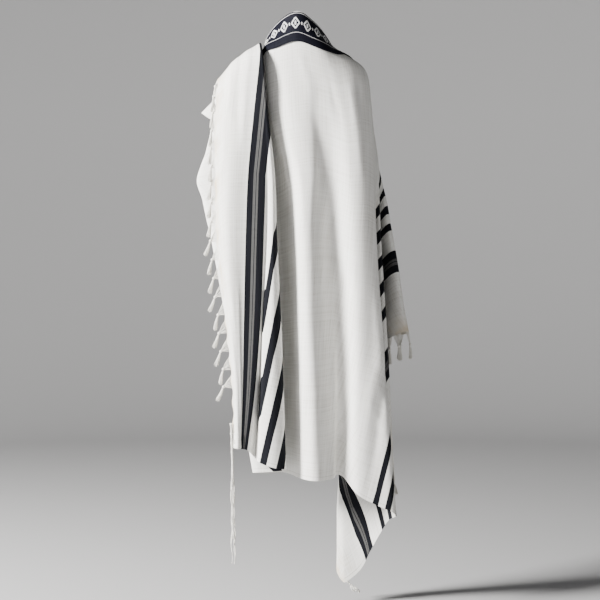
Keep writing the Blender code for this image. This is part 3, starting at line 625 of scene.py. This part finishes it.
def new_material(name):
    material = bpy.data.materials.new(name)
    material.use_nodes = True
    tree = material.node_tree
    shader = tree.nodes["Principled BSDF"]
    return material, tree, shader


def add_node(tree, kind, values=(), links=()):
    """A node with its input values and the sockets that feed it."""
    node = tree.nodes.new(kind)
    for key, value in values:
        node.inputs[key].default_value = value
    for key, source in links:
        tree.links.new(source, node.inputs[key])
    return node


def math_node(tree, operation, first, second=None):
    node = tree.nodes.new("ShaderNodeMath")
    node.operation = operation
    for slot, value in enumerate((first, second)):
        if value is None:
            continue
        if isinstance(value, (int, float)):
            node.inputs[slot].default_value = value
        else:
            tree.links.new(value, node.inputs[slot])
    return node.outputs[0]


def mix_colour(tree, factor, first, second, blend="MIX"):
    node = tree.nodes.new("ShaderNodeMix")
    node.data_type = "RGBA"
    node.blend_type = blend
    for slot, value in ((0, factor), (6, first), (7, second)):
        if isinstance(value, (int, float, tuple)):
            node.inputs[slot].default_value = value
        else:
            tree.links.new(value, node.inputs[slot])
    return node.outputs[2]


def place_vector(tree, scale_along, scale_down):
    """The place on the flat cloth, scaled in both directions."""
    place = tree.nodes.new("ShaderNodeUVMap")
    place.uv_map = "place"
    mapping = add_node(
        tree,
        "ShaderNodeMapping",
        [("Scale", (scale_along, scale_down, 1.0))],
        [("Vector", place.outputs[0])],
    )
    return mapping.outputs[0]


def noise(tree, vector, scale, detail=2.0):
    node = add_node(
        tree,
        "ShaderNodeTexNoise",
        [("Scale", scale), ("Detail", detail)],
        [("Vector", vector)],
    )
    return node.outputs["Fac"]


def ramp(tree, factor, stops, interpolation="LINEAR"):
    node = tree.nodes.new("ShaderNodeValToRGB")
    node.color_ramp.interpolation = interpolation
    elements = node.color_ramp.elements
    while len(elements) > 1:
        elements.remove(elements[-1])
    elements[0].position = stops[0][0]
    elements[0].color = stops[0][1]
    for position, colour in stops[1:]:
        element = elements.new(position)
        element.color = colour
    tree.links.new(factor, node.inputs[0])
    return node.outputs[0]


def weave_height(tree):
    """Height of a plain weave with uneven threads."""
    place = tree.nodes.new("ShaderNodeUVMap")
    place.uv_map = "place"
    split = add_node(tree, "ShaderNodeSeparateXYZ", links=[(0, place.outputs[0])])
    warp = math_node(tree, "SINE", math_node(tree, "MULTIPLY", split.outputs[0], 4800.0))
    weft = math_node(tree, "SINE", math_node(tree, "MULTIPLY", split.outputs[1], 4200.0))
    fine = math_node(tree, "MULTIPLY", warp, weft)
    slub = noise(tree, place_vector(tree, 420.0, 14.0), 1.0, 3.0)
    pick = noise(tree, place_vector(tree, 12.0, 260.0), 1.0, 2.0)
    rough = math_node(tree, "ADD", slub, math_node(tree, "MULTIPLY", pick, 0.6))
    return math_node(tree, "ADD", math_node(tree, "MULTIPLY", fine, 0.35), rough)


def wool_material(name, striped):
    """Off-white wool, with black stripes woven into it and painted brown shade near its ends where
    it is the main cloth.
    """
    material, tree, shader = new_material(name)
    slub = noise(tree, place_vector(tree, 300.0, 6.0), 1.0, 4.0)
    pick = noise(tree, place_vector(tree, 5.0, 240.0), 1.0, 3.0)
    cloud = noise(tree, place_vector(tree, 5.0, 3.0), 1.0, 3.0)
    threads = math_node(
        tree,
        "ADD",
        math_node(tree, "MULTIPLY", slub, 0.45),
        math_node(tree, "MULTIPLY", pick, 0.35),
    )
    tone = math_node(tree, "ADD", threads, math_node(tree, "MULTIPLY", cloud, 0.20))
    white = ramp(tree, tone, (
        (0.36, (0.68, 0.665, 0.62, 1.0)),
        (0.50, (0.85, 0.84, 0.805, 1.0)),
        (0.64, (0.92, 0.915, 0.89, 1.0)),
    ))
    colour = white
    if striped:
        place = tree.nodes.new("ShaderNodeUVMap")
        place.uv_map = "place"
        split = add_node(tree, "ShaderNodeSeparateXYZ", links=[(0, place.outputs[0])])
        end = math_node(
            tree, "SUBTRACT", CLOTH_LENGTH / 2, math_node(tree, "ABSOLUTE", split.outputs[0])
        )
        jitter = noise(tree, place_vector(tree, 0.0, 500.0), 1.0, 1.0)
        fuzz = math_node(tree, "MULTIPLY", math_node(tree, "SUBTRACT", jitter, 0.5), 0.0010)
        factor = math_node(
            tree, "MULTIPLY", math_node(tree, "ADD", end, fuzz), 1.0 / STRIPE_REACH
        )
        marks = ramp(tree, factor, stripe_stops(), "CONSTANT")
        amounts = add_node(tree, "ShaderNodeSeparateColor", links=[(0, marks)])
        pins = math_node(
            tree,
            "GREATER_THAN",
            math_node(tree, "SINE", math_node(tree, "MULTIPLY", end, 2 * math.pi / 0.0022)),
            -0.1,
        )
        pin_share = math_node(
            tree, "MULTIPLY", math_node(tree, "MULTIPLY", pins, amounts.outputs[1]), 0.11
        )
        dark = math_node(tree, "SUBTRACT", amounts.outputs[0], pin_share)
        black = ramp(tree, slub, (
            (0.30, (0.0045, 0.0048, 0.0070, 1.0)),
            (0.70, (0.0110, 0.0115, 0.0150, 1.0)),
        ))
        # Painted shade: warm brown patches that fade with distance from the cloth's ends stand in
        # for the shadow in the puckers beside the fringe
        pucker_shade_patches = noise(tree, place_vector(tree, 22.0, 16.0), 1.0, 2.0)
        pucker_shade_patches = math_node(tree, "MULTIPLY", math_node(tree, "SUBTRACT", pucker_shade_patches, 0.36), 3.2)
        shade_falloff_from_end = math_node(tree, "POWER", math.e, math_node(tree, "MULTIPLY", end, -30.0))
        painted_shade_near_end = math_node(tree, "MULTIPLY", shade_falloff_from_end, pucker_shade_patches)
        painted_shade_near_end.node.use_clamp = True
        pucker_shaded_white = mix_colour(tree, painted_shade_near_end, white, (0.66, 0.56, 0.41, 1.0))
        colour = mix_colour(tree, dark, pucker_shaded_white, black)
        hem = math_node(
            tree,
            "COMPARE",
            math_node(tree, "ADD", split.outputs[1], fuzz),
            CLOTH_WIDTH - HEM,
        )
        hem.node.inputs[2].default_value = HEM_SEAM
        seam = math_node(tree, "MULTIPLY", hem, 0.35)
        colour = mix_colour(tree, seam, colour, (0.30, 0.28, 0.25, 1.0), "MULTIPLY")
    tree.links.new(colour, shader.inputs["Base Color"])
    shader.inputs["Roughness"].default_value = 0.92
    shader.inputs["Specular IOR Level"].default_value = 0.06
    shader.inputs["Sheen Weight"].default_value = 0.02
    shader.inputs["Sheen Roughness"].default_value = 0.55
    bump = add_node(
        tree,
        "ShaderNodeBump",
        [("Strength", 0.75), ("Distance", 0.0006)],
        [("Height", weave_height(tree))],
    )
    tree.links.new(bump.outputs[0], shader.inputs["Normal"])
    return material


def stripe_stops():
    """Stops of a stepped ramp: red is the darkness, green the share of fine pale lines."""
    stops = [(0.0, (0.0, 0.0, 0.0, 1.0))]
    for number, (start, end, dark, pale) in enumerate(STRIPES):
        stops.append((start / STRIPE_REACH, (dark, pale, 0.0, 1.0)))
        follows = STRIPES[number + 1][0] if number + 1 < len(STRIPES) else None
        if follows != end:
            stops.append((end / STRIPE_REACH, (0.0, 0.0, 0.0, 1.0)))
    return stops


def band_material():
    """Dark navy satin with fine ribs across it."""
    material, tree, shader = new_material("navy_satin")
    streak = noise(tree, place_vector(tree, 500.0, 30.0), 1.0, 3.0)
    colour = ramp(tree, streak, (
        (0.30, (0.0022, 0.0024, 0.0050, 1.0)),
        (0.70, (0.0060, 0.0064, 0.0120, 1.0)),
    ))
    tree.links.new(colour, shader.inputs["Base Color"])
    shader.inputs["Roughness"].default_value = 0.62
    shader.inputs["Specular IOR Level"].default_value = 0.06
    shader.inputs["Sheen Weight"].default_value = 0.0
    shader.inputs["Sheen Roughness"].default_value = 0.4
    place = tree.nodes.new("ShaderNodeUVMap")
    place.uv_map = "place"
    split = add_node(tree, "ShaderNodeSeparateXYZ", links=[(0, place.outputs[0])])
    ribs = math_node(
        tree, "SINE", math_node(tree, "MULTIPLY", split.outputs[0], 2 * math.pi / 0.0012)
    )
    bump = add_node(
        tree,
        "ShaderNodeBump",
        [("Strength", 0.4), ("Distance", 0.0002)],
        [("Height", math_node(tree, "ADD", ribs, streak))],
    )
    tree.links.new(bump.outputs[0], shader.inputs["Normal"])
    return material


def thread_material(name, low, high, turns, lift):
    """Twisted thread: the ply winds round it as it runs, with painted shade darkening the grooves
    between its turns.
    """
    material, tree, shader = new_material(name)
    place = tree.nodes.new("ShaderNodeUVMap")
    place.uv_map = "place"
    split = add_node(tree, "ShaderNodeSeparateXYZ", links=[(0, place.outputs[0])])
    twist = math_node(
        tree,
        "ADD",
        math_node(tree, "MULTIPLY", split.outputs[0], turns * 2 * math.pi),
        math_node(tree, "MULTIPLY", split.outputs[1], 2 * math.pi),
    )
    # Painted shade: the colour runs from low in the grooves of the twist to high on its ridges
    ply = math_node(tree, "SINE", twist)
    tone = math_node(tree, "ADD", math_node(tree, "MULTIPLY", ply, 0.25), 0.5)
    colour = ramp(tree, tone, ((0.20, low), (0.80, high)))
    tree.links.new(colour, shader.inputs["Base Color"])
    shader.inputs["Roughness"].default_value = 0.85
    shader.inputs["Specular IOR Level"].default_value = 0.25
    shader.inputs["Sheen Weight"].default_value = 0.2
    shader.inputs["Sheen Roughness"].default_value = 0.5
    bump = add_node(
        tree, "ShaderNodeBump", [("Strength", 0.6), ("Distance", lift)], [("Height", ply)]
    )
    tree.links.new(bump.outputs[0], shader.inputs["Normal"])
    return material


# Pieces

def make_cloth(sheet, along, down, material):
    cloth = wall_mesh("cloth", sheet, grid_normals(sheet), CLOTH_WALL, along, down, material)
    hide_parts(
        "cloth_back",
        "cloth_left_over",
        "cloth_left_under",
        "cloth_right_cascade",
        "cloth_right_side",
    )
    return cloth


def at_distances(line, distances, values=None):
    """Points of a line, or values given at its points, at distances from its start."""
    values = line if values is None else values
    run = run_lengths(line[None])[0]
    return np.array([[np.interp(d, run, values[:, k]) for k in range(3)] for d in distances])


class Surface:
    """A grid of points that small raised work is laid on, by place along and across it."""

    def __init__(self, grid, along, across):
        self.grid = grid
        self.normals = grid_normals(grid)
        self.along = along
        self.across = across

    def point(self, along, across, lift):
        i = np.interp(along, self.along, np.arange(len(self.along)))
        j = np.interp(across, self.across, np.arange(len(self.across)))
        i0 = min(int(i), len(self.along) - 2)
        j0 = min(int(j), len(self.across) - 2)
        a, b = i - i0, j - j0
        found = []
        for field in (self.grid, self.normals):
            found.append(
                (1 - a) * (1 - b) * field[i0, j0]
                + a * (1 - b) * field[i0 + 1, j0]
                + (1 - a) * b * field[i0, j0 + 1]
                + a * b * field[i0 + 1, j0 + 1]
            )
        return found[0] + lift * found[1]


class Embroidery:
    """Collects raised satin bars that lie on a surface."""

    def __init__(self, surface, base):
        self.surface = surface
        self.base = base
        self.verts = []
        self.faces = []
        self.uvs = []

    def bar(self, start, end, width, height, parts):
        """A low rounded bar between two places on the surface."""
        start, end = np.array(start), np.array(end)
        length = float(np.linalg.norm(end - start))
        way = (end - start) / length
        side = np.array((-way[1], way[0]))
        profile = ((-0.5, 0.0), (-0.28, 0.8), (0.0, 1.0), (0.28, 0.8), (0.5, 0.0))
        first = len(self.verts)
        for k in range(parts + 1):
            middle = start + way * length * k / parts
            ends = 0.35 if k in (0, parts) else 1.0
            for across, lift in profile:
                place = middle + side * width * across * (0.75 + 0.25 * ends)
                point = self.surface.point(*place, self.base + height * lift * ends)
                self.verts.append(point)
                self.uvs.append((length * k / parts, across))
        wide = len(profile)
        for k in range(parts):
            for a in range(wide - 1):
                low = first + k * wide + a
                self.faces.append((low, low + 1, low + wide + 1, low + wide))

    def make(self, name, material):
        return add_mesh(name, self.verts, self.faces, self.uvs, material)


def make_band(sheet, columns, satin, silk):
    """The collar band and its geometric embroidery."""
    moved = sheet + BAND_OFF * grid_normals(sheet)
    moved = moved[columns[BAND_FROM] : columns[BAND_TO] + 1]
    distances = np.linspace(0.002, BAND_WIDTH, 23)
    grid = np.array([at_distances(line, distances) for line in moved])
    middle = run_lengths(grid.transpose(1, 0, 2))[11]
    along = np.repeat(middle[:, None], len(distances), axis=1)
    down = np.repeat(distances[None], len(middle), axis=0)
    band = wall_mesh("collar_band_satin", grid, grid_normals(grid), BAND_WALL, along, down, satin)
    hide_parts("collar_band")
    surface = Surface(grid, middle, distances)
    work = Embroidery(surface, BAND_WALL / 2)
    length = middle[-1]
    for across in BAND_LINES:
        work.bar((0.004, across), (length - 0.004, across), 0.0013, 0.0005, 260)
    count = int((length - 0.03) / MOTIF_PITCH)
    first = (length - (count - 1) * MOTIF_PITCH) / 2
    centre = 0.033
    for k in range(count):
        x = first + k * MOTIF_PITCH
        corners = (
            (x - MOTIF_WIDTH / 2, centre),
            (x, centre - MOTIF_HEIGHT / 2),
            (x + MOTIF_WIDTH / 2, centre),
            (x, centre + MOTIF_HEIGHT / 2),
        )
        for a, b in zip(corners, corners[1:] + corners[:1]):
            work.bar(a, b, 0.0040, 0.0008, 5)
        work.bar((x, centre - 0.006), (x, centre + 0.006), 0.0050, 0.0008, 3)
        dot = x + MOTIF_PITCH / 2
        if k + 1 < count:
            work.bar((dot, centre - 0.004), (dot, centre + 0.004), 0.0040, 0.0007, 3)
    embroidery = work.make("collar_embroidery", silk)
    return [band, embroidery]


def evenly(lines, distances):
    return np.array([at_distances(line, distances) for line in lines])


def make_patches(sheet, columns, wool, thread):
    """A stitched square of cloth on each corner, with a worked eyelet."""
    made = []
    moved = sheet + (PATCH_OFF - 0.0006) * grid_normals(sheet)
    for name, line, end, neighbour in PATCHES:
        start, stop = columns[line], columns[neighbour]
        if start < stop:
            part = moved[start : stop + 1]
        else:
            part = moved[stop : start + 1][::-1]
        if end == "low":
            part = part[:, ::-1]
        steps = np.linspace(PATCH_INSET, PATCH, 15)
        grid = evenly(part, steps)
        grid = evenly(grid.transpose(1, 0, 2), steps).transpose(1, 0, 2)
        normals = grid_normals(grid)
        corner = grid_normals(moved)[start, 0 if end == "top" else -1]
        flip = np.sign((normals[5, 5] * corner).sum())
        along = np.repeat(steps[:, None], len(steps), axis=1)
        piece = wall_mesh(f"{name}_cloth", grid, normals, PATCH_WALL, along, along.T, wool)
        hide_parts(name)
        made.append(piece)
        surface = Surface(grid, steps, steps)
        surface.normals = surface.normals * flip
        work = Embroidery(surface, PATCH_WALL / 2)
        low, high = PATCH_INSET + 0.003, PATCH - 0.003
        stitch = 0.0042
        count = int((high - low) / stitch)
        for k in range(count):
            a = low + k * stitch
            b = a + stitch * 0.62
            for fixed in (low, high):
                work.bar((a, fixed), (b, fixed), 0.0009, 0.0005, 2)
                work.bar((fixed, a), (fixed, b), 0.0009, 0.0005, 2)
        eye = (low + high) / 2 - 0.004
        spokes = 18
        for k in range(spokes):
            angle = 2 * math.pi * k / spokes
            way = np.array((math.cos(angle), math.sin(angle)))
            centre = np.array((eye, eye))
            work.bar(centre + 0.0022 * way, centre + 0.0050 * way, 0.0011, 0.0006, 2)
        made.append(work.make(f"{name}_stitches", thread))
    return made


def fringe_frames(edge, inner, level_out):
    """Outward directions along an edge."""
    outs = edge - inner
    outs /= np.linalg.norm(outs, axis=1, keepdims=True)
    if level_out:
        outs[:, 1] = np.minimum(outs[:, 1], 0.0)
    ways = np.gradient(edge, axis=0)
    ways /= np.linalg.norm(ways, axis=1, keepdims=True)
    outs -= (outs * ways).sum(axis=1, keepdims=True) * ways
    return outs / np.linalg.norm(outs, axis=1, keepdims=True)


def make_fringe(name, edge, inner, count, level_out, material):
    """Strings that leave the cloth's end, meet in a knot and hang on as a soft brush."""
    run = run_lengths(edge[None])[0]
    length = run[-1]
    outs = fringe_frames(edge, inner, level_out)
    threads = Threads()
    for number in range(count):
        middle = (number + 0.5) * length / count
        centre = at_distances(edge, [middle])[0]
        out = at_distances(edge, [middle], outs)[0]
        out /= np.linalg.norm(out)
        start = centre + out * (EDGE_ROOM + TAPE_WIDTH)
        sway = math.sin(2.3 * number + 0.7)
        stand = np.interp(centre[2], HUGGING_HEIGHTS, HUGGING_SHARES)
        knot = start + DOWN * 0.60 * TASSEL_GATHER
        knot = knot + out * stand * (0.60 + 0.08 * sway) * TASSEL_GATHER
        for place in middle + np.linspace(-TASSEL_ROOT, TASSEL_ROOT, TASSEL_STRINGS):
            root = at_distances(edge, [np.clip(place, 0.0005, length - 0.0005)])[0]
            root = root - out * 0.001
            half = 0.45 * root + 0.55 * knot + out * 0.0015 + rng.normal(0, 0.0007, 3)
            threads.tube(curve_points([root, half, knot], 7), 0.0009)
        lie = DOWN + out * stand * (0.32 + 0.14 * sway)
        lie /= np.linalg.norm(lie)
        wobble = (0.30 * sway, 0.5 + 0.35 * math.sin(1.7 * number))
        ball = [knot + lie * at for at in (-0.0040, -0.0016, 0.0016, 0.0042)]
        threads.tube(ball, [0.0018, 0.0040, 0.0040, 0.0020], 8)
        side = np.cross(lie, (0.2, 0.9, 0.1))
        side /= np.linalg.norm(side)
        other = np.cross(lie, side)
        curl = side * 0.004 * wobble[0]
        for k in range(TASSEL_THREADS):
            angle = 2.399963 * k
            spread = math.sqrt((k + 0.5) / TASSEL_THREADS)
            away = (math.cos(angle) * side + math.sin(angle) * other) * spread
            reach = TASSEL_BRUSH * (0.92 + 0.12 * rng.random()) * (1 - 0.10 * spread)
            tip = knot + lie * reach + away * TASSEL_SPREAD + rng.normal(0, 0.0006, 3)
            neck = knot + lie * 0.005 + away * 0.0016
            belly = knot + lie * reach * 0.5 + away * TASSEL_SPREAD * 0.62 + curl
            path = curve_points([knot, neck, belly, tip], 7)
            threads.tube(path, THREAD_RADIUS * np.array((1, 1.3, 1.35, 1.35, 1.3, 1.2, 0.8)), 4)
    piece = threads.make(name + "_threads", material)
    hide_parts(name)
    return piece


def make_fringes(sheet, columns, material):
    left = sheet[columns["left_end"], :LEFT_FRINGE_ROWS]
    left_inner = sheet[columns["left_end"] + 8, :LEFT_FRINGE_ROWS]
    right = sheet[columns[RIGHT_FRINGE_FROM] :, -1]
    right_inner = sheet[columns[RIGHT_FRINGE_FROM] :, -5]
    return [
        make_fringe("fringe_left", left, left_inner, LEFT_FRINGE_COUNT, True, material),
        make_fringe("fringe_right", right, right_inner, RIGHT_FRINGE_COUNT, False, material),
    ]


def helix(start, end, radius, turns, drift):
    """Points of a winding round the line from start to end."""
    count = max(12, int(turns * 12))
    way = end - start
    side = np.cross(way, (0.0, 1.0, 0.0))
    side /= np.linalg.norm(side)
    other = np.cross(way, side)
    other /= np.linalg.norm(other)
    share = np.linspace(0, 1, count)
    angle = 2 * math.pi * turns * share + drift
    return (
        start
        + share[:, None] * way
        + radius * (np.cos(angle)[:, None] * side + np.sin(angle)[:, None] * other)
    )


def make_corner_tassels(material):
    """A cord wound between double knots, and the loose strands below it."""
    made = []
    for name, top, wound, loose, cord_lean, strand_lean, spread in CORNER_TASSELS:
        top = np.array(top)
        low = top + DOWN * wound + np.array((*cord_lean, 0.0))
        drift = np.array((*strand_lean, 0.0))
        threads = Threads()
        long = wound > 0.05
        axis = (low - top) / np.linalg.norm(low - top)
        groups = WINDINGS if long else (2,)
        knots = [top + (low - top) * k / len(groups) for k in range(len(groups) + 1)]
        threads.tube([top, (top + low) / 2, low], CORD_RADIUS * 0.62, 8)
        for k, turns in enumerate(groups):
            begin = knots[k] + axis * 0.0032
            finish = knots[k + 1] - axis * 0.0032
            if not long:
                begin, finish = knots[k] + axis * 0.002, knots[k + 1] - axis * 0.002
            threads.tube(helix(begin, finish, CORD_RADIUS * 0.78, turns, k), 0.0008, 5)
        for k, place in enumerate(knots):
            for twin in (-0.0012, 0.0014):
                a = place + axis * (twin - 0.0012)
                b = place + axis * (twin + 0.0012)
                threads.tube(helix(a, b, CORD_RADIUS * 0.86, 1.6, k + 9 * twin), 0.0010, 6)
        for k in range(STRANDS):
            angle = 2 * math.pi * (k + 0.5) / STRANDS
            side = np.array((math.cos(angle), math.sin(angle), 0.0))
            across = np.array((-math.sin(angle), math.cos(angle), 0.0))
            length = loose * (0.86 + 0.14 * math.sin(2.1 * k + 1.0))
            path = []
            parts = 46 if long else 14
            for t in np.linspace(0, 1, parts):
                wave = 0.0022 * math.sin(11 * t + 1.7 * k) * min(1.0, 3 * t)
                bend = 0.0016 * math.sin(23 * t + 2.9 * k) * min(1.0, 3 * t)
                swell = spread * (0.35 * math.sin(math.pi * t) + 0.55 * t)
                away = side * (0.0018 + swell + bend) + across * wave
                path.append(low + DOWN * length * t + away + drift * t)
            threads.tube(path, STRAND_RADIUS, 6)
            tip = path[-1]
            knob = [tip + DOWN * 0.001, tip, tip - DOWN * 0.0028]
            threads.tube(knob, [0.0012, 0.0016, 0.0011], 6)
        piece = threads.make(name + "_threads", material)
        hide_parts(name)
        made.append(piece)
    return made


# Room, light and camera

def plain_material(name, colour, roughness):
    material, tree, shader = new_material(name)
    shader.inputs["Base Color"].default_value = colour
    shader.inputs["Roughness"].default_value = roughness
    return material


def make_stage():
    """A round floor that sweeps up into a wall."""
    profile = [(0.0, FLOOR_Z), (WALL_DISTANCE - SWEEP, FLOOR_Z)]
    for k in range(1, 13):
        angle = math.pi / 2 * k / 12
        out = WALL_DISTANCE - SWEEP + SWEEP * math.sin(angle)
        profile.append((out, FLOOR_Z + SWEEP * (1 - math.cos(angle))))
    profile.append((WALL_DISTANCE, WALL_TOP))
    verts = []
    for out, z in profile:
        for k in range(STAGE_SIDES):
            angle = 2 * math.pi * k / STAGE_SIDES
            verts.append((out * math.cos(angle), out * math.sin(angle), z))
    faces = []
    for ring in range(len(profile) - 1):
        for k in range(STAGE_SIDES):
            nxt = (k + 1) % STAGE_SIDES
            low = ring * STAGE_SIDES
            high = low + STAGE_SIDES
            faces.append((low + k, low + nxt, high + nxt, high + k))
    material = plain_material("stage_paint", (0.42, 0.42, 0.425, 1.0), 0.9)
    stage = add_mesh("floor", verts, faces, None, material)


def add_light(name, place, target, size, energy, colour):
    data = bpy.data.lights.new(name, "AREA")
    data.shape = "DISK"
    data.size = size
    data.energy = energy
    data.color = colour
    light = bpy.data.objects.new(name, data)
    light.location = place
    light.rotation_euler = (Vector(target) - Vector(place)).to_track_quat("-Z", "Y").to_euler()
    bpy.context.scene.collection.objects.link(light)


def make_lights():
    target = (0.0, 0.0, -0.65)
    add_light("key", (-3.9, -2.1, 1.1), target, 1.3, 1290.0, (1.0, 0.985, 0.96))
    add_light("fill", (1.6, -4.2, 0.6), target, 2.6, 6.0, (0.95, 0.97, 1.0))
    world = bpy.data.worlds.new("studio")
    world.use_nodes = True
    background = world.node_tree.nodes["Background"]
    background.inputs[0].default_value = (0.80, 0.82, 0.86, 1.0)
    background.inputs[1].default_value = 0.07
    bpy.context.scene.world = world


def make_camera():
    data = bpy.data.cameras.new("camera")
    data.lens = CAMERA_LENS
    data.sensor_width = SENSOR
    camera = bpy.data.objects.new("camera", data)
    camera.location = CAMERA_PLACE
    camera.rotation_euler = (math.pi / 2, 0.0, 0.0)
    bpy.context.scene.collection.objects.link(camera)
    bpy.context.scene.camera = camera


def main():
    make_camera()
    make_lights()
    make_stage()
    striped = wool_material("striped_wool", True)
    plain = wool_material("plain_wool", False)
    satin = band_material()
    silk = thread_material(
        "silver_silk", (0.42, 0.42, 0.43, 1.0), (0.74, 0.74, 0.73, 1.0), 900.0, 0.0002
    )
    thread = thread_material(
        "wool_thread", (0.62, 0.60, 0.54, 1.0), (0.86, 0.85, 0.81, 1.0), 260.0, 0.0003
    )
    cotton = thread_material(
        "sewing_cotton", (0.30, 0.28, 0.24, 1.0), (0.52, 0.49, 0.43, 1.0), 700.0, 0.0002
    )
    sheet, along, down, columns = whole_sheet()
    cloth = make_cloth(sheet, along, down, striped)
    band = make_band(sheet, columns, satin, silk)
    patches = make_patches(sheet, columns, plain, cotton)
    fringes = make_fringes(sheet, columns, thread)
    tassels = make_corner_tassels(thread)
    others = band + patches + fringes + tassels
    for piece in [cloth] + others:
        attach(piece, "root")


main()
